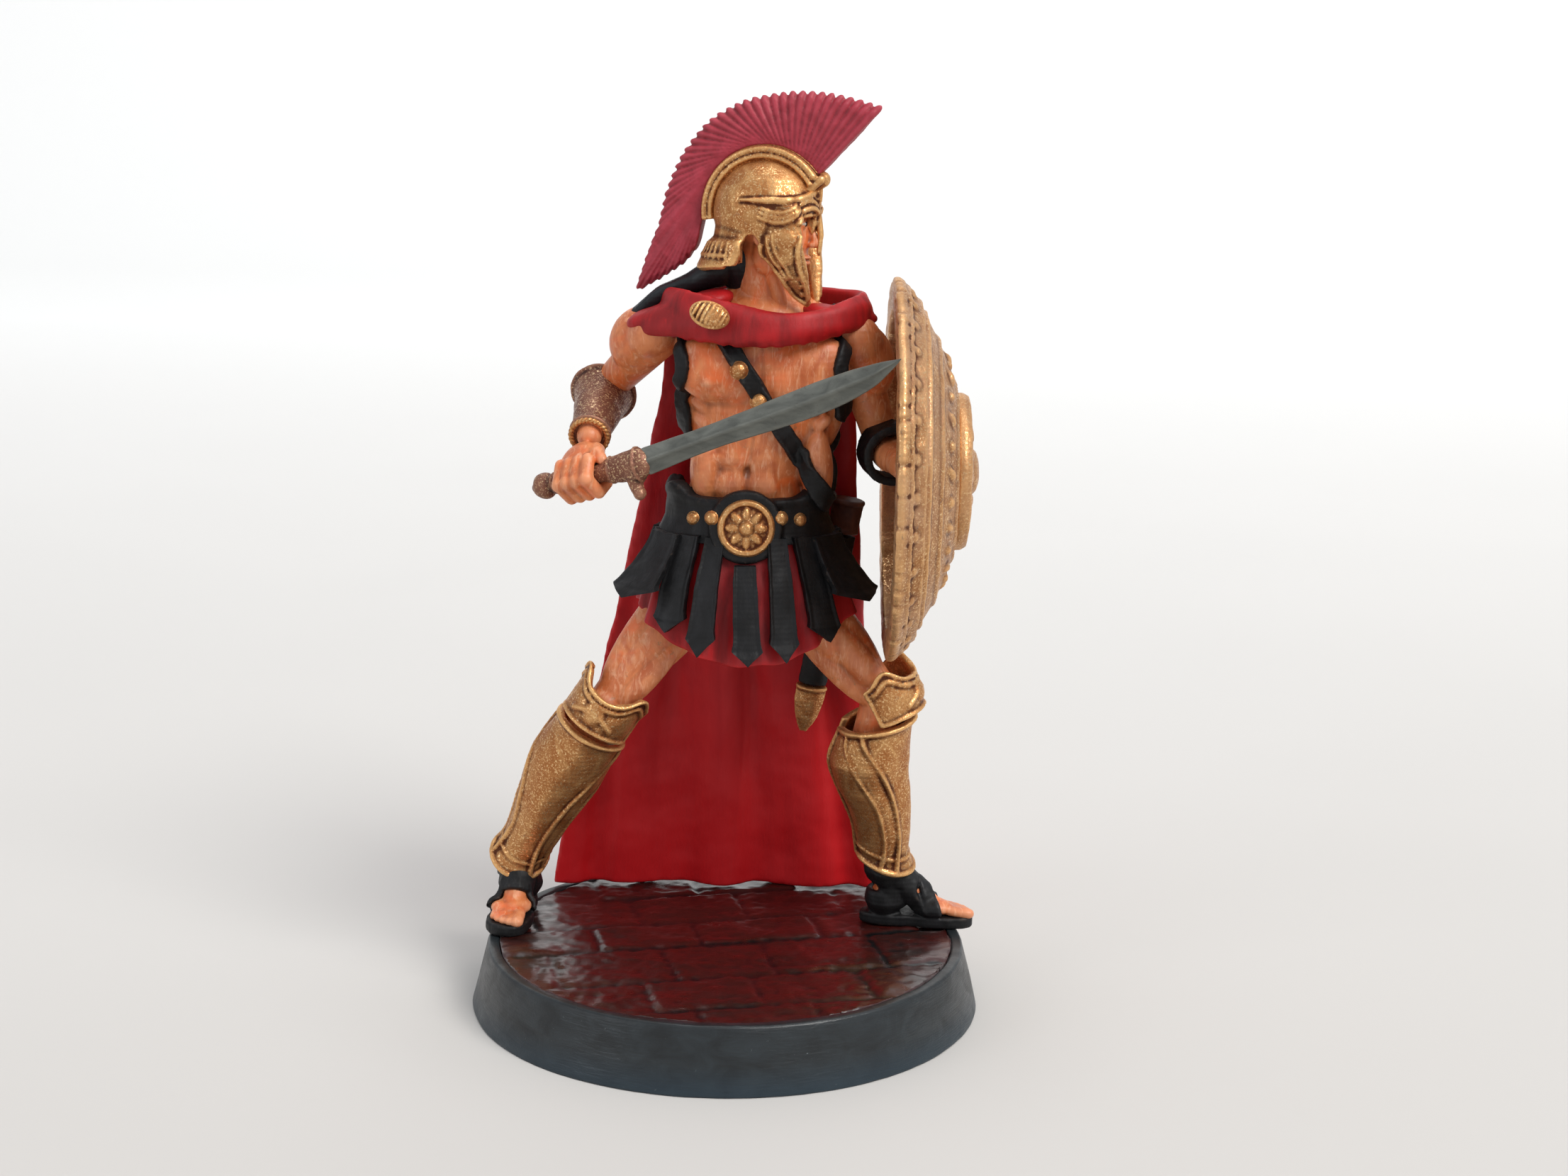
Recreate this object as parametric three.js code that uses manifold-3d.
// A painted 54 mm scale miniature: a helmeted warrior with cape, round shield and short sword, astride
// a round plinth with a brick-paved insert. Millimetres, +Z up. The origin is the middle of the plinth's
// flat underside, the figure's chest faces -Y, and its shield arm is on the +X side.
import * as THREE from "three";
import { mergeVertices } from "three/addons/utils/BufferGeometryUtils.js";
import Module from "manifold-3d";

const wasm = await Module();
wasm.setup();

// ---- Driving dimensions -------------------------------------------------------------------------
const GAP = 0.2; // clearance that every glued joint keeps
const BASE_R = 16; // plinth radius at the table, a standard 32 mm base
const BASE_TOP_R = 15; // plinth radius at its top edge
const BASE_H = 4; // plinth height, which is also the height of the paving
const INSERT_R = 14.2; // recess that holds the paving
const INSERT_T = 1.4; // depth of that recess
const FINEST = 0.03; // surface detail smaller than this is smoothed away
const PEG_R = 0.55; // the pegs under the sandals, which key the figure into its base
const SHIELD_R = 11.7; // round shield, half its diameter
const SHIELD_DEPTH = 4.7; // height of its dome over the rim
const HEAD_TURN = THREE.MathUtils.degToRad(-15); // the face looks along +X, turned 15 degrees to -Y

const v3 = (x, y, z) => new THREE.Vector3(x, y, z);
const up = v3(0, 0, 1);

// Joints of the body, in the part's frame.
const BODY = {
  hipR: v3(-1.4, 1.6, 27.2),
  kneeR: v3(-7.6, -0.6, 19.2),
  ankleR: v3(-13.5, 3.9, 8.0),
  hipL: v3(3.5, 1.6, 27.2),
  kneeL: v3(9.5, 0.6, 19.8),
  ankleL: v3(10.0, 3.1, 8.3),
  shoulderR: v3(-4.6, 1.5, 42.0),
  elbowR: v3(-8.2, 5.4, 38.1),
  wristR: v3(-8.7, -0.2, 35.9),
  shoulderL: v3(7.2, 1.5, 41.6),
  elbowL: v3(9.3, 2.9, 35.2),
  wristL: v3(11.0, -3.9, 34.3),
  head: v3(1.95, 1.0, 49.2),
};

const PAINT = {
  skin: [0xd98a5a, 0.55, 0],
  bronze: [0xa8743a, 0.35, 0.8],
  red: [0xa01418, 0.5, 0],
  crest: [0xb03a48, 0.5, 0],
  leather: [0x1c1c1e, 0.7, 0],
  steel: [0x6d7270, 0.5, 0.4],
  wood: [0x5a3324, 0.6, 0],
  plinth: [0x23282c, 0.5, 0],
  brick: [0x4a2018, 0.4, 0],
};

// ---- Solids -------------------------------------------------------------------------------------

// A closed three.js geometry as a solid that can be joined and cut, its faces turned outwards.
function solid(geometry) {
  const bare = geometry.clone();
  for (const name of ["normal", "uv", "uv1"]) bare.deleteAttribute(name);
  const merged = mergeVertices(bare, 1e-4);
  const vertProperties = merged.attributes.position.array;
  const made = (order) => {
    const triVerts = new Uint32Array(merged.index.array);
    if (order) for (let i = 0; i < triVerts.length; i += 3) triVerts.set([triVerts[i + 1], triVerts[i]], i);
    return new wasm.Manifold(new wasm.Mesh({ numProp: 3, vertProperties, triVerts }));
  };
  const first = made(false);
  return first.volume() < 0 ? made(true) : first;
}

const join = (first, ...rest) => rest.reduce((whole, one) => whole.add(one), first);
const cut = (first, ...tools) => tools.reduce((left, tool) => left.subtract(tool), first);

// The largest body of a solid, once a cut has trimmed slivers off it.
const largest = (made) => made.decompose().sort((a, b) => b.volume() - a.volume())[0];

// A solid as a named mesh with its paint.
function node(name, paint, made) {
  const mesh = largest(made).simplify(FINEST).getMesh();
  const geometry = new THREE.BufferGeometry();
  geometry.setAttribute("position", new THREE.BufferAttribute(mesh.vertProperties, 3));
  geometry.setIndex(new THREE.BufferAttribute(mesh.triVerts, 1));
  const [color, roughness, metalness] = PAINT[paint];
  const coloured = new THREE.Mesh(geometry, new THREE.MeshStandardMaterial({ color, roughness, metalness }));
  coloured.name = name;
  return coloured;
}

// A limb: a cylinder whose rings follow a smooth line. Each station is [point, half width, half depth],
// where depth lies along `front` as nearly as the limb's direction allows. `grow` makes it fatter all over.
function limb(stations, { sides = 12, steps = 8, front = v3(0, -1, 0), grow = 0, grip = 0 } = {}) {
  const line = new THREE.CatmullRomCurve3(stations.map((s) => s[0]), false, "centripetal");
  const geometry = new THREE.CylinderGeometry(1, 1, 1, sides, steps);
  const place = geometry.attributes.position;
  const last = stations.length - 1;
  const size = (t, k) => {
    const at = Math.min(last - 1e-6, Math.max(0, t * last));
    const i = Math.floor(at);
    return THREE.MathUtils.lerp(stations[i][k], stations[i + 1][k], at - i) + grow;
  };
  for (let i = 0; i < place.count; i++) {
    const t = place.getY(i) + 0.5;
    const along = line.getTangent(t);
    const depth = front.clone().addScaledVector(along, -front.dot(along)).normalize();
    const width = new THREE.Vector3().crossVectors(along, depth);
    const at = line.getPoint(t);
    at.addScaledVector(width, place.getX(i) * size(t, 1));
    at.addScaledVector(depth, place.getZ(i) * size(t, 2));
    at.addScaledVector(along, (t - 0.5) * 2 * (grow + grip));
    place.setXYZ(i, at.x, at.y, at.z);
  }
  return solid(geometry);
}

// A ball stretched to three half sizes, turned about Z.
function ball(at, rx, ry, rz, turn = 0, detail = 12) {
  const made = new THREE.SphereGeometry(1, detail, Math.ceil(detail * 0.6)).rotateX(Math.PI / 2);
  return solid(made.scale(rx, ry, rz).rotateZ(turn).translate(at.x, at.y, at.z));
}

// A straight round bar from one point to another.
function bar(from, to, radius, sides = 12) {
  const made = new THREE.CylinderGeometry(radius, radius, from.distanceTo(to), sides);
  const turn = new THREE.Quaternion().setFromUnitVectors(v3(0, 1, 0), to.clone().sub(from).normalize());
  const middle = from.clone().lerp(to, 0.5);
  return solid(made.applyQuaternion(turn).translate(middle.x, middle.y, middle.z));
}

// A lathe profile [radius, height] turned about the line from `at` along `axis`.
function turned(profile, at, axis, sides = 32) {
  const made = new THREE.LatheGeometry(profile.map(([r, h]) => new THREE.Vector2(r, h)), sides);
  const turn = new THREE.Quaternion().setFromUnitVectors(v3(0, 1, 0), axis.clone().normalize());
  return solid(made.applyQuaternion(turn).translate(at.x, at.y, at.z));
}

// A flat outline [[x, y], ...] made `thick` deep. It stands at `at`, with its own x and y along two directions.
function plate(outline, thick, at, alongX, alongY) {
  const shape = new THREE.Shape(outline.map(([x, y]) => new THREE.Vector2(x, y)));
  const made = new THREE.ExtrudeGeometry(shape, { depth: thick, bevelEnabled: false, curveSegments: 8 });
  const x = alongX.clone().normalize();
  const z = new THREE.Vector3().crossVectors(x, alongY).normalize();
  const y = new THREE.Vector3().crossVectors(z, x);
  made.translate(0, 0, -thick / 2).applyMatrix4(new THREE.Matrix4().makeBasis(x, y, z));
  return solid(made.translate(at.x, at.y, at.z));
}

// A slab of the given sizes, turned so that its thin direction is `normal`.
function slab(at, normal, wide, thick) {
  const turn = new THREE.Quaternion().setFromUnitVectors(v3(0, 0, 1), normal.clone().normalize());
  const made = new THREE.BoxGeometry(wide, wide, thick).applyQuaternion(turn);
  return solid(made.translate(at.x, at.y, at.z));
}

// A half ball standing on a surface, as a rivet head does.
function stud(at, out, radius = 0.5) {
  const dome = [0, 30, 60, 90].map((deg) => THREE.MathUtils.degToRad(deg));
  const profile = dome.map((a) => [radius * Math.cos(a), 0.75 * radius * Math.sin(a)]);
  profile[profile.length - 1][0] = 0;
  return turned([[0, 0], ...profile], at, out, 10);
}

// A point on a line between two joints.
const between = (a, b, t) => a.clone().lerp(b, t);

// ---- Plinth -------------------------------------------------------------------------------------

const footPegR = v3(-12.5, 4.0, 0);
const footPegL = v3(10.1, 3.3, 0);
const pegHole = (at) => bar(v3(at.x, at.y, 1.2), v3(at.x, at.y, BASE_H + 1), PEG_R + GAP);

function plinth() {
  const profile = [
    [0, 0],
    [BASE_R - 0.3, 0],
    [BASE_R, 0.3],
    [BASE_TOP_R + 0.2, BASE_H - 0.25],
    [BASE_TOP_R - 0.05, BASE_H],
    [INSERT_R + GAP, BASE_H],
    [INSERT_R + GAP, BASE_H - INSERT_T - GAP],
    [0, BASE_H - INSERT_T - GAP],
  ];
  return cut(turned(profile, v3(0, 0, 0), v3(0, 0, 1), 48), pegHole(footPegR), pegHole(footPegL));
}

function paving() {
  const low = BASE_H - INSERT_T;
  const profile = [[0, low], [INSERT_R, low], [INSERT_R, BASE_H], [0, BASE_H]];
  return cut(turned(profile, v3(0, 0, 0), v3(0, 0, 1), 40), pegHole(footPegR), pegHole(footPegL));
}

// ---- Legs and what they wear --------------------------------------------------------------------

const FRONT_R = v3(-0.25, -1, 0); // the way the sword-side knee and toes point
const FRONT_L = v3(1, -0.25, 0); // the shield-side leg points along the shield's face

const CALF_R = v3(-0.35, 0.3, 0); // how far the calf swells away from the straight shin
const CALF_L = v3(-0.75, 0.2, 0);

const legStations = (hip, knee, ankle, heel, calf) => [
  [hip, 2.2, 2.5],
  [between(hip, knee, 0.5), 2.15, 2.3],
  [knee, 1.45, 1.55],
  [between(knee, ankle, 0.33).add(calf), 1.65, 1.7],
  [between(knee, ankle, 0.7), 1.1, 1.2],
  [ankle, 0.85, 0.95],
  [between(ankle, heel, 0.3).setZ(6.0), 0.85, 1.0],
];
const legR = (grow) => limb(legStations(BODY.hipR, BODY.kneeR, BODY.ankleR, heelR, CALF_R), { steps: 12, grow });
const legL = (grow) => limb(legStations(BODY.hipL, BODY.kneeL, BODY.ankleL, heelL, CALF_L), { steps: 12, grow });

// The foot inside the sandal: a wedge from heel to toes, standing on the sandal's sole.
const SOLE_T = 0.7;
function foot(heel, toe, grow = 0) {
  const floor = BASE_H + SOLE_T + 0.35;
  const at = (t, z) => between(heel, toe, t).setZ(z);
  const stations = [
    [at(-0.02, floor + 0.9), 0.7, 0.8],
    [at(0.15, floor + 1.0), 1.0, 1.25],
    [at(0.5, floor + 0.75), 1.15, 1.0],
    [at(0.8, floor + 0.4), 1.35, 0.65],
    [at(1, floor + 0.25), 1.0, 0.45],
  ];
  return limb(stations, { sides: 10, steps: 6, front: v3(0, 0, 1), grow });
}
const heelR = v3(-13.6, 5.9, 0);
const toeR = v3(-13.9, -0.5, 0);
const heelL = v3(9.5, 3.4, 0);
const toeL = v3(15.3, 3.1, 0);

// A sandal: a sole with a peg under it, a heel cup and an instep, round the foot.
function sandal(heel, toe, peg, inside) {
  const at = (t, z) => between(heel, toe, t).setZ(z);
  const low = BASE_H + 0.05;
  const sole = limb(
    [
      [at(-0.12, low + SOLE_T / 2), 0.7, SOLE_T / 2],
      [at(0.1, low + SOLE_T / 2), 1.35, SOLE_T / 2],
      [at(0.75, low + SOLE_T / 2), 1.75, SOLE_T / 2],
      [at(1.09, low + SOLE_T / 2), 1.15, SOLE_T / 2],
    ],
    { sides: 8, steps: 6, front: v3(0, 0, 1) },
  );
  const upper = limb(
    [
      [at(-0.1, low + 1.3), 1.05, 1.3],
      [at(0.15, low + 1.6), 1.45, 1.75],
      [at(0.5, low + 1.3), 1.6, 1.35],
      [at(0.72, low + 0.9), 1.75, 0.95],
    ],
    { sides: 10, steps: 5, front: v3(0, 0, 1) },
  );
  const pin = bar(v3(peg.x, peg.y, 1.5), v3(peg.x, peg.y, low + SOLE_T / 2), PEG_R);
  const ground = new THREE.BoxGeometry(12, 12, 4).translate((heel.x + toe.x) / 2, (heel.y + toe.y) / 2, low - 2);
  return join(cut(join(sole, upper), solid(ground), ...inside), pin);
}

// A greave: a sheath round the shin. It stops short of the sandal and of the knee plate.
function greave(knee, ankle, calf, front, inside) {
  const stations = [
    [between(knee, ankle, 0.12), 2.05, 2.15],
    [between(knee, ankle, 0.36).add(calf), 2.4, 2.35],
    [between(knee, ankle, 0.7).addScaledVector(calf, 0.5), 1.85, 1.85],
    [between(knee, ankle, 0.98), 1.6, 1.65],
  ];
  return cut(limb(stations, { steps: 5, front }), ...inside);
}

// The plate over the knee: a cup in front of the joint, standing clear of the greave's top edge.
function kneePlate(hip, knee, ankle, upTo, front, inside) {
  const top = between(knee, hip, upTo);
  const forward = front.clone().normalize();
  const stations = [
    [top.addScaledVector(forward, 0.5), 1.75, 1.7],
    [knee.clone().addScaledVector(forward, 0.55), 2.0, 1.95],
    [between(knee, ankle, 0.1).addScaledVector(forward, 0.4), 1.9, 1.8],
  ];
  const behind = slab(knee.clone().addScaledVector(forward, -3.6), forward, 14, 6);
  return cut(limb(stations, { steps: 4, front }), behind, ...inside);
}

// ---- Body, skirt and belts ----------------------------------------------------------------------

const torsoStations = [
  [v3(0.95, 1.5, 29.4), 4.9, 3.1],
  [v3(0.9, 1.45, 31.6), 4.15, 2.75],
  [v3(0.9, 1.4, 34.2), 3.75, 2.45],
  [v3(1.6, 1.15, 38.2), 4.8, 3.0],
  [v3(1.9, 1.05, 41.0), 5.35, 2.95],
  [v3(1.8, 1.3, 43.0), 4.4, 2.3],
  [v3(1.8, 1.4, 44.4), 2.1, 1.8],
];
const torso = (grow = 0) => limb(torsoStations, { sides: 16, steps: 12, grow });

const skirtStations = [
  [v3(0.95, 1.4, 29.5), 5.3, 3.6],
  [v3(0.9, 1.2, 27.2), 6.3, 4.2],
  [v3(0.9, 0.9, 22.6), 7.6, 5.0],
];
const skirt = (grow = 0) => limb(skirtStations, { sides: 24, steps: 3, grow });

// The space under a hem that rises towards both hips.
function underHem(lowest, curl) {
  const line = Array.from({ length: 13 }, (_, i) => i * 1.5 - 9).map((x) => [x, lowest + curl * x * x]);
  return plate([[-9, -30], ...line, [9, -30]], 30, v3(1, 0, 0), v3(1, 0, 0), up);
}

// The leather strips over the cloth: a shell round it, parted by narrow wedges.
const STRIPS = 18;
const STRIP_T = 0.5;
function skirtStrips() {
  const shell = cut(skirt(GAP + STRIP_T), skirt(GAP), underHem(22.9, 0.082));
  const trimmed = cut(shell, slab(v3(1, 1, 34.6), up, 40, 10));
  const wedges = Array.from({ length: STRIPS }, (_, i) => {
    const a = ((i + 0.5) / STRIPS) * Math.PI * 2;
    const out = v3(Math.sin(a), -0.72 * Math.cos(a), 0).normalize();
    const side = v3(-out.y, out.x, 0);
    const at = v3(1.0 + 6.6 * Math.sin(a), 1.1 - 4.5 * Math.cos(a), 28.3);
    return plate([[0, 0], [0.5, -7], [-0.5, -7]], 6, at, side, up);
  });
  return cut(trimmed, ...wedges);
}

const BELT_LOW = 29.9;
const BELT_TOP = 32.4;
const BUCKLE = v3(0.95, -1.95, 30.8);
const buckleOut = v3(0.05, -1, 0.12).normalize();

function belt() {
  const stations = [
    [v3(0.95, 1.5, BELT_LOW), 5.5, 3.8],
    [v3(0.9, 1.45, 31.6), 5.0, 3.5],
    [v3(0.9, 1.42, BELT_TOP), 4.75, 3.35],
  ];
  const boss = bar(BUCKLE.clone().addScaledVector(buckleOut, -1.6), BUCKLE, 2.25, 24);
  return cut(join(limb(stations, { sides: 20, steps: 3 }), boss), torso(GAP), skirt(GAP));
}

// A strap loop that lies on the body where a slab crosses it.
function loop(middle, normal, wide, thick) {
  const shell = cut(torso(GAP + thick), torso(GAP));
  return shell.intersect(slab(middle, normal, 30, wide));
}

// Straps over both shoulders, cut off level above the waist.
const shoulderStrap = (x) => cut(loop(v3(x, 1.2, 40), v3(1, 0, 0), 0.85, 0.45), slab(v3(x, 1.2, 31.4), up, 30, 10));

// The belt the scabbard hangs from: over the sword-side shoulder, down to the other hip.
const baldricWay = v3(0.84, 0, 0.543);
const baldric = () => loop(v3(2.3, 1.2, 37.7), baldricWay, 1.35, 0.5);

// ---- Head ---------------------------------------------------------------------------------------

// The head's own frame: x forwards out of the face, y to its left, z up.
const facing = v3(Math.cos(HEAD_TURN), Math.sin(HEAD_TURN), 0);
const sideways = v3(-Math.sin(HEAD_TURN), Math.cos(HEAD_TURN), 0);
const onHead = (x, y, z) =>
  BODY.head.clone().addScaledVector(facing, x).addScaledVector(sideways, y).addScaledVector(up, z);

const NECK_FOOT = v3(1.8, 1.35, 44.65);
function head(grow = 0) {
  const skull = ball(onHead(0.1, 0, 0.3), 2.6 + grow, 2.2 + grow, 2.6 + grow, HEAD_TURN, 14);
  const jaw = ball(onHead(0.9, 0, -2.0), 2.0 + grow, 1.7 + grow, 2.2 + grow, HEAD_TURN, 12);
  const neck = limb([[NECK_FOOT, 1.8, 1.7], [onHead(-0.3, 0, -1.5), 1.6, 1.6]], { steps: 2, grow });
  return join(skull, jaw, neck);
}

function helmet() {
  const dome = ball(onHead(-0.1, 0, 0.35), 3.3, 2.95, 3.2, HEAD_TURN, 20);
  const neckGuard = limb(
    [[onHead(-0.6, 0, 0), 2.9, 2.6], [onHead(-0.85, 0, -2.6), 2.55, 2.2]],
    { sides: 14, steps: 3, front: facing },
  );
  const belowBrow = plate([[0.2, -6], [8, -6], [8, -0.6], [0.2, -0.6]], 12, onHead(0, 0, 0), facing, up);
  const belowNape = slab(onHead(0, 0, -5.0), up, 20, 4.8);
  const cheek = [[0.0, 0.4], [3.0, 0.4], [3.2, -1.4], [3.0, -4.9], [2.4, -4.9], [0.9, -2.7], [0.5, -1.0]];
  const cheeks = [-1, 1].map((s) => plate(cheek, 0.7, onHead(0, s * 2.35, 0), facing, up));
  const nasal = plate([[2.75, 0.6], [3.6, 0.6], [3.55, -2.4], [3.15, -2.4]], 0.55, onHead(0, 0, 0), facing, up);
  return cut(join(cut(join(dome, neckGuard), belowBrow, belowNape), ...cheeks, nasal), head(GAP));
}

// A stretch of ring over the dome, from the brow to the nape, in the head's middle plane.
function arc(inner, outer, fromDeg, toDeg, thick, steps = 10) {
  const rim = (r, flip) =>
    Array.from({ length: steps + 1 }, (_, i) => {
      const share = flip ? 1 - i / steps : i / steps;
      const a = THREE.MathUtils.degToRad(fromDeg + (toDeg - fromDeg) * share);
      return [-0.1 + r * Math.cos(a), 0.35 + r * Math.sin(a)];
    });
  return plate([...rim(inner, false), ...rim(outer, true)], thick, onHead(0, 0, 0), facing, up);
}
const CREST_FOOT = 4.1; // radius where the crest leaves its holder
const crestHolder = () => arc(3.3 + GAP, CREST_FOOT, 30, 190, 1.5);

// The fan of the crest: from a forward peak over the head to a tail that hangs behind the neck.
function crest() {
  const foot = CREST_FOOT + GAP;
  const line = [];
  for (let i = 0; i <= 12; i++) {
    const a = THREE.MathUtils.degToRad(36 + (187 - 36) * (i / 12));
    line.push([-0.1 + foot * Math.cos(a), 0.35 + foot * Math.sin(a)]);
  }
  const outer = new THREE.CatmullRomCurve3([
    v3(-5.4, -1.7, 0), v3(-8.2, -4.3, 0), v3(-7.3, -1.2, 0), v3(-6.0, 2.5, 0), v3(-3.4, 5.6, 0),
    v3(0.9, 7.2, 0), v3(6.8, 6.6, 0),
  ]);
  const back = outer.getPoints(16).map((p) => [p.x, p.y]);
  return plate([...line, ...back], 1.1, onHead(0, 0, 0), facing, up);
}

// ---- Arms and what they carry -------------------------------------------------------------------

const armRStations = [
  [BODY.shoulderR.clone().add(v3(0.6, -0.2, 0.3)), 1.5, 1.6],
  [between(BODY.shoulderR, BODY.elbowR, 0.3), 1.75, 1.75],
  [between(BODY.shoulderR, BODY.elbowR, 0.75), 1.4, 1.5],
  [BODY.elbowR, 1.25, 1.25],
  [between(BODY.elbowR, BODY.wristR, 0.3), 1.3, 1.3],
  [BODY.wristR, 0.75, 0.8],
];
const armR = (grow = 0) => limb(armRStations, { steps: 12, front: up, grow });

function vambrace() {
  const { elbowR, wristR } = BODY;
  const stations = [
    [between(elbowR, wristR, 0.22), 1.85, 1.9],
    [between(elbowR, wristR, 0.6), 1.55, 1.6],
    [between(elbowR, wristR, 0.93), 1.3, 1.3],
  ];
  return cut(limb(stations, { steps: 4, front: up }), armR(GAP));
}

const armLStations = [
  [BODY.shoulderL.clone().add(v3(-0.6, -0.2, 0.3)), 1.5, 1.6],
  [between(BODY.shoulderL, BODY.elbowL, 0.25), 1.75, 1.75],
  [between(BODY.shoulderL, BODY.elbowL, 0.75), 1.35, 1.4],
  [BODY.elbowL, 1.15, 1.2],
  [between(BODY.elbowL, BODY.wristL, 0.35), 1.1, 1.15],
  [BODY.wristL, 0.75, 0.8],
];
const armL = (grow = 0) => limb(armLStations, { steps: 12, front: v3(-1, 0.2, 0.1), grow });

// The sword: a short hilt held in the fist, and a leaf blade that rises from it across the chest.
const POMMEL = v3(-12.0, -0.5, 32.7);
const GUARD = v3(-5.3, -4.5, 34.95);
const SWORD_TIP = v3(9.8, -9.9, 41.7);
const hiltWay = GUARD.clone().sub(POMMEL).normalize();
const bladeWay = SWORD_TIP.clone().sub(GUARD).normalize();
const onHilt = (s) => POMMEL.clone().addScaledVector(hiltWay, s);
const swordFlat = v3(-0.3, -1, 0.1).cross(bladeWay).normalize(); // across the blade's width
const GRIP_R = 0.6;
const HILT_L = GUARD.distanceTo(POMMEL);

function hilt(grow = 0) {
  const grip = bar(onHilt(0.9), onHilt(HILT_L - 1.5), GRIP_R + grow, 10);
  const end = ball(onHilt(0.95), 0.95 + grow, 0.85 + grow, 0.8 + grow);
  const shoulder = [[-2.6, -0.7], [-1.6, -1.05], [-0.6, -1.1], [-0.4, -1.7], [-0.05, -1.7],
    [-0.05, 1.5], [-0.4, 1.5], [-0.6, 1.0], [-1.6, 0.95], [-2.6, 0.7]];
  return join(grip, end, plate(shoulder, 1.3 + grow, GUARD, hiltWay, swordFlat));
}

function blade() {
  const long = SWORD_TIP.distanceTo(GUARD);
  const outline = [[GAP, -0.9], [0.3 * long, -0.75], [0.65 * long, -1.05], [0.88 * long, -0.7], [long, 0.3],
    [0.7 * long, 0.8], [0.3 * long, 0.7], [GAP, 0.9]];
  return plate(outline, 0.6, GUARD, bladeWay, swordFlat);
}

const FIST = onHilt(3.75);
function fistR() {
  const palm = bar(onHilt(2.2), onHilt(5.2), 1.45, 12);
  const wristEnd = ball(between(FIST, BODY.wristR, 0.65), 1.35, 1.5, 1.35);
  return cut(join(palm, wristEnd), hilt(GAP));
}

// ---- Shield -------------------------------------------------------------------------------------

const SHIELD = v3(9.5, 0.2, 34.1); // middle of the rim's back edge; the dome swells along +X
const RIM_IN = 10.1;
const sideX = v3(1, 0, 0);
const domeAt = (r, depth) => depth * (1 - Math.pow(r / (SHIELD_R + 0.6), 2.2));

function shieldBowl() {
  const radii = [0, 2.5, 5, 7.5, 9.2, RIM_IN - GAP];
  const outside = radii.map((r) => [r, domeAt(r, SHIELD_DEPTH)]).reverse();
  const inside = radii.map((r) => [r, domeAt(r, SHIELD_DEPTH) - 0.75]);
  return turned([...inside, ...outside], SHIELD, sideX, 36);
}

function shieldRim() {
  const lip = domeAt(RIM_IN, SHIELD_DEPTH);
  const profile = [[RIM_IN, 0], [SHIELD_R, 0], [SHIELD_R, 0.9], [RIM_IN + 0.3, lip + 0.1], [RIM_IN, lip]];
  return turned([...profile, profile[0]], SHIELD, sideX, 36);
}

function shieldBoss() {
  const radii = [0, 1.6, 3.2, 4.8];
  const foot = radii.map((r) => [r, domeAt(r, SHIELD_DEPTH) + GAP / 2]);
  const face = radii.map((r) => [r, domeAt(r, SHIELD_DEPTH) + GAP / 2 + 0.45]).reverse();
  return turned([...foot, ...face], SHIELD, sideX, 24);
}

// The band inside the bowl that the forearm passes through, on two brackets, and the grip near the rim.
const BAND = between(BODY.elbowL, BODY.wristL, 0.22);
function armBand() {
  const way = BODY.wristL.clone().sub(BODY.elbowL).normalize();
  const ring = bar(BAND.clone().addScaledVector(way, -0.9), BAND.clone().addScaledVector(way, 0.9), 1.95, 16);
  const brackets = [-1.7, 1.7].map((z) => {
    const made = new THREE.BoxGeometry(5, 1.4, 0.5).translate(BAND.x + 2.5, BAND.y, BAND.z + z);
    return solid(made);
  });
  return cut(join(ring, ...brackets), armL(GAP), shieldInside());
}
const shieldInside = () => {
  const radii = [0, 2.5, 5, 7.5, 9.2, RIM_IN + 2];
  const inside = radii.map((r) => [r, domeAt(r, SHIELD_DEPTH) - 0.75 - GAP]);
  return turned([...inside, [RIM_IN + 2, 9], [0, 9]], SHIELD, sideX, 36);
};
const GRIP_L = BODY.wristL.clone().add(v3(0.15, -1.6, 0));
function handGrip() {
  const grip = bar(GRIP_L.clone().add(v3(0, 0, -1.9)), GRIP_L.clone().add(v3(0, 0, 1.9)), 0.4, 10);
  const ends = [-1.9, 1.9].map((z) => bar(GRIP_L.clone().add(v3(-0.2, 0, z)), GRIP_L.clone().add(v3(3, 0, z)), 0.4, 10));
  return cut(join(grip, ...ends), shieldInside());
}
function fistL() {
  const palm = bar(GRIP_L.clone().add(v3(0, 0, -1.2)), GRIP_L.clone().add(v3(0, 0, 1.2)), 1.15, 12);
  const heel = ball(between(GRIP_L, BODY.wristL, 0.5), 0.95, 1.0, 1.0);
  const hole = bar(GRIP_L.clone().add(v3(0, 0, -3)), GRIP_L.clone().add(v3(0, 0, 3)), 0.4 + GAP, 10);
  return cut(join(palm, heel), hole, shieldInside());
}

// ---- Cape, hair and scabbard --------------------------------------------------------------------

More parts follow.
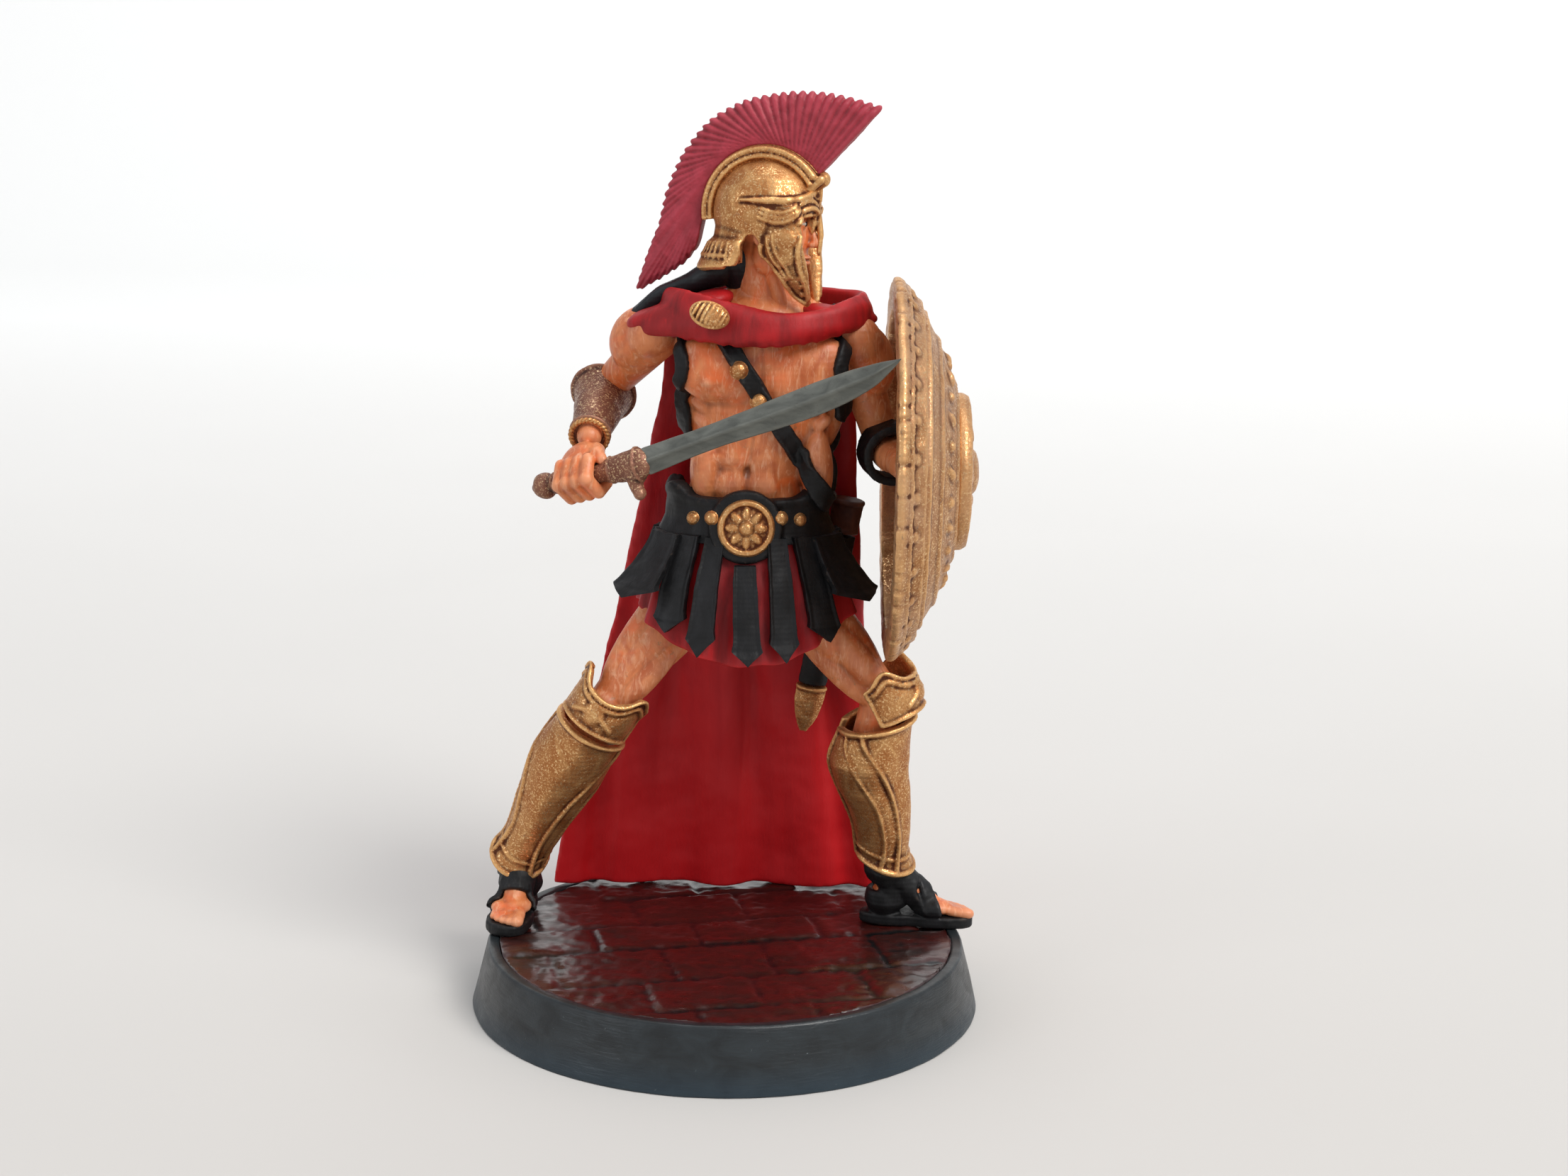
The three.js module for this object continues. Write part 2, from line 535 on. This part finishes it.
// The cape is a thick sheet. Rows run from the shoulders to the hem: [z, left x, right x, y, sweep],
// where sweep is how far the side edges come forward of the middle.
const CAPE_ROWS = [
  [42.6, -4.0, 7.4, 5.2, 1.2],
  [38.0, -4.6, 7.4, 5.9, 1.0],
  [31.0, -6.0, 7.8, 7.6, 0.9],
  [22.8, -7.8, 8.3, 8.9, 0.7],
  [13.0, -10.5, 9.2, 9.7, 0.5],
  [BASE_H + GAP, -12.0, 10.0, 10.1, 0.3],
];
function cape() {
  const rows = CAPE_ROWS.length - 1;
  const geometry = new THREE.BoxGeometry(1, 1, 1, 10, rows * 2, 1);
  const place = geometry.attributes.position;
  for (let i = 0; i < place.count; i++) {
    const u = place.getX(i) * 2;
    const at = Math.min(rows - 1e-6, (0.5 - place.getY(i)) * rows);
    const k = Math.floor(at);
    const [z, x0, x1, y, sweep] = CAPE_ROWS[k].map((a, j) => THREE.MathUtils.lerp(a, CAPE_ROWS[k + 1][j], at - k));
    const fold = 0.25 * Math.sin(u * 9) * Math.min(1, (42 - z) / 20);
    place.setXYZ(i, (x0 + x1) / 2 + (u * (x1 - x0)) / 2, y - sweep * u * u + fold + place.getZ(i) * 0.8, z);
  }
  return solid(geometry);
}

// The rolled cloth round the neck and over both shoulders.
function collar() {
  const round = [
    v3(-4.4, 1.9, 44.2), v3(-3.0, -0.9, 43.8), v3(-1.0, -1.9, 43.0), v3(2.2, -2.6, 42.6), v3(5.0, -1.9, 42.9),
    v3(7.6, 0.4, 43.6), v3(7.6, 3.0, 43.7), v3(4.6, 4.6, 43.8), v3(1.4, 4.9, 43.9), v3(-2.4, 4.4, 44.0),
  ];
  const line = new THREE.CatmullRomCurve3(round, true);
  const flat = new THREE.Shape(
    Array.from({ length: 8 }, (_, i) => {
      const a = (i / 8) * Math.PI * 2;
      return new THREE.Vector2(0.95 * Math.cos(a), 0.95 * Math.sin(a));
    }),
  );
  const ring = new THREE.ExtrudeGeometry(flat, { extrudePath: line, steps: 28, bevelEnabled: false });
  return solid(ring);
}

const hair = () =>
  limb(
    [
      [onHead(-2.7, -0.2, -2.6), 0.9, 1.5],
      [v3(-1.7, 1.9, 46.2), 0.8, 1.2],
      [v3(-3.4, 1.6, 45.7), 0.6, 1.1],
    ],
    { sides: 10, steps: 5, front: v3(0, 1, 0) },
  );

const SCABBARD_TOP = v3(7.3, 4.3, 31.6);
const SCABBARD_TIP = v3(4.7, 7.1, 15.7);
const onScabbard = (s) => between(SCABBARD_TOP, SCABBARD_TIP, s);
const scabbardFlat = { sides: 8, front: v3(0, 1, 0) };
const scabbardBody = () =>
  limb([[onScabbard(0.16), 0.75, 0.45], [onScabbard(0.78), 0.85, 0.45]], { ...scabbardFlat, steps: 1 });
const scabbardThroat = () =>
  limb([[onScabbard(0), 1.0, 0.6], [onScabbard(0.14), 0.9, 0.55]], { ...scabbardFlat, steps: 1 });
const scabbardTip = () =>
  limb([[onScabbard(0.8), 0.9, 0.45], [onScabbard(0.9), 0.75, 0.4], [onScabbard(1), 0.12, 0.12]],
    { ...scabbardFlat, steps: 2 });

// ---- Assembly -----------------------------------------------------------------------------------

const figure = new THREE.Group();
const group = (name, ...nodes) => {
  const made = new THREE.Group();
  made.name = name;
  nodes.forEach((one) => made.add(one));
  figure.add(made);
};

const footR = foot(heelR, toeR);
const footL = foot(heelL, toeL);
const footRoomR = foot(heelR, toeR, GAP);
const footRoomL = foot(heelL, toeL, GAP);
const shinR = join(legR(0), footR);
const shinL = cut(join(legL(0), footL), grown(shieldRim()));
const roomR = legR(GAP);
const roomL = legL(GAP);

const sandalR = sandal(heelR, toeR, footPegR, [roomR, footRoomR]);
const sandalL = sandal(heelL, toeL, footPegL, [roomL, footRoomL]);
const greaveR = cut(greave(BODY.kneeR, BODY.ankleR, CALF_R, FRONT_R, [roomR, footRoomR]), grown(sandalR));
const greaveL = cut(greave(BODY.kneeL, BODY.ankleL, CALF_L, FRONT_L, [roomL, footRoomL]), grown(sandalL));
const kneeR = cut(kneePlate(BODY.hipR, BODY.kneeR, BODY.ankleR, 0.1, FRONT_R, [roomR]), grown(greaveR));
const kneeL = cut(kneePlate(BODY.hipL, BODY.kneeL, BODY.ankleL, 0.2, FRONT_L, [roomL]), grown(greaveL));

// A solid thickened a little by small shifts each way, as room for the piece beside it.
function grown(made) {
  const shifts = [[1, 0, 0], [-1, 0, 0], [0, 1, 0], [0, -1, 0], [0, 0, 1], [0, 0, -1]];
  return join(made, ...shifts.map((s) => made.translate(s.map((k) => k * GAP))));
}

const rightArm = join(cut(armR(), torso(GAP)), fistR());
const leftArm = join(cut(armL(), torso(GAP)), fistL());
const rightSleeve = cut(vambrace(), grown(fistR()));
const chest = torso();
const roundNeck = cut(collar(), torso(GAP), armR(GAP), armL(GAP), head(GAP), grown(crest()));
const wornBelt = belt();
const shell = [grown(roundNeck), armR(GAP), armL(GAP)];
const hung = baldric();
const buckle = turned(
  [[0, 0], [1.7, 0], [1.7, 0.35], [1.3, 0.6], [0.6, 0.75], [0, 0.8]],
  BUCKLE.clone().addScaledVector(buckleOut, GAP),
  buckleOut,
  24,
);
const strips = cut(skirtStrips(), roomR, roomL, torso(GAP), grown(buckle));
const studsOnBelt = [[-2.3, 31.25], [-1.15, 31.45], [3.05, 31.45], [4.2, 31.25]];
const beltFront = (x) => 1.45 - 3.45 * Math.sqrt(1 - ((x - 1.05) / 5.1) ** 2) - 0.1;
const studsOnBaldric = [v3(0.4, -2.6, 40.5), v3(1.75, -2.6, 38.4)];

group("base", node("base_plinth", "plinth", plinth()), node("paving_insert", "brick", paving()));

group(
  "legs",
  node("right_leg", "skin", shinR),
  node("left_leg", "skin", shinL),
  node("right_sandal", "leather", sandalR),
  node("left_sandal", "leather", sandalL),
  node("right_greave", "bronze", greaveR),
  node("left_greave", "bronze", greaveL),
  node("right_knee_plate", "bronze", kneeR),
  node("left_knee_plate", "bronze", kneeL),
);

group(
  "body",
  node("torso", "skin", chest),
  node("tunic_skirt", "red", cut(skirt(), underHem(22.6, 0.055), roomR, roomL, torso(GAP))),
  node("skirt_strips", "leather", strips),
  node("belt", "leather", cut(wornBelt, grown(strips))),
  node("buckle", "bronze", buckle),
  ...studsOnBelt.map(([x, z], i) =>
    node(`belt_stud_${i + 1}`, "bronze", stud(v3(x, beltFront(x) - GAP, z), v3((x - 1) * 0.15, -1, 0.1), 0.42))),
  node("baldric", "leather", cut(hung, ...shell, grown(wornBelt))),
  ...studsOnBaldric.map((at, i) => node(`baldric_stud_${i + 1}`, "bronze", stud(at, v3(0, -1, 0), 0.5))),
  node("right_shoulder_strap", "leather", cut(shoulderStrap(-3.05), ...shell, grown(hung))),
  node("left_shoulder_strap", "leather", cut(shoulderStrap(6.5), ...shell, grown(hung))),
);

group(
  "head",
  node("head", "skin", cut(head(), torso(GAP))),
  node("helmet", "bronze", helmet()),
  node("crest_holder", "bronze", crestHolder()),
  node("crest", "crest", crest()),
  node("hair", "leather", cut(hair(), grown(helmet()), head(GAP), grown(roundNeck), grown(crest()), torso(GAP))),
);

group(
  "arms",
  node("right_arm", "skin", rightArm),
  node("right_vambrace", "bronze", rightSleeve),
  node("sword_hilt", "bronze", hilt()),
  node("sword_blade", "steel", blade()),
  node("left_arm", "skin", leftArm),
  node("shield_arm_band", "leather", armBand()),
  node("shield_grip", "leather", handGrip()),
  node("shield_bowl", "bronze", shieldBowl()),
  node("shield_rim", "bronze", shieldRim()),
  node("shield_boss", "bronze", shieldBoss()),
);

group(
  "cape",
  node("cape_collar", "red", roundNeck),
  node("cape", "red", cut(cape(), grown(roundNeck), armR(GAP), armL(GAP), torso(GAP), grown(crest()))),
  node("cape_brooch", "bronze", turned([[0, 0], [0.95, 0], [0.85, 0.3], [0, 0.45]],
    v3(-1.35, -2.95, 43.5), v3(-0.15, -1, 0.35), 20)),
  node("scabbard", "leather", scabbardBody()),
  node("scabbard_throat", "wood", scabbardThroat()),
  node("scabbard_tip", "bronze", scabbardTip()),
);

figure.updateMatrixWorld(true);
export default figure;
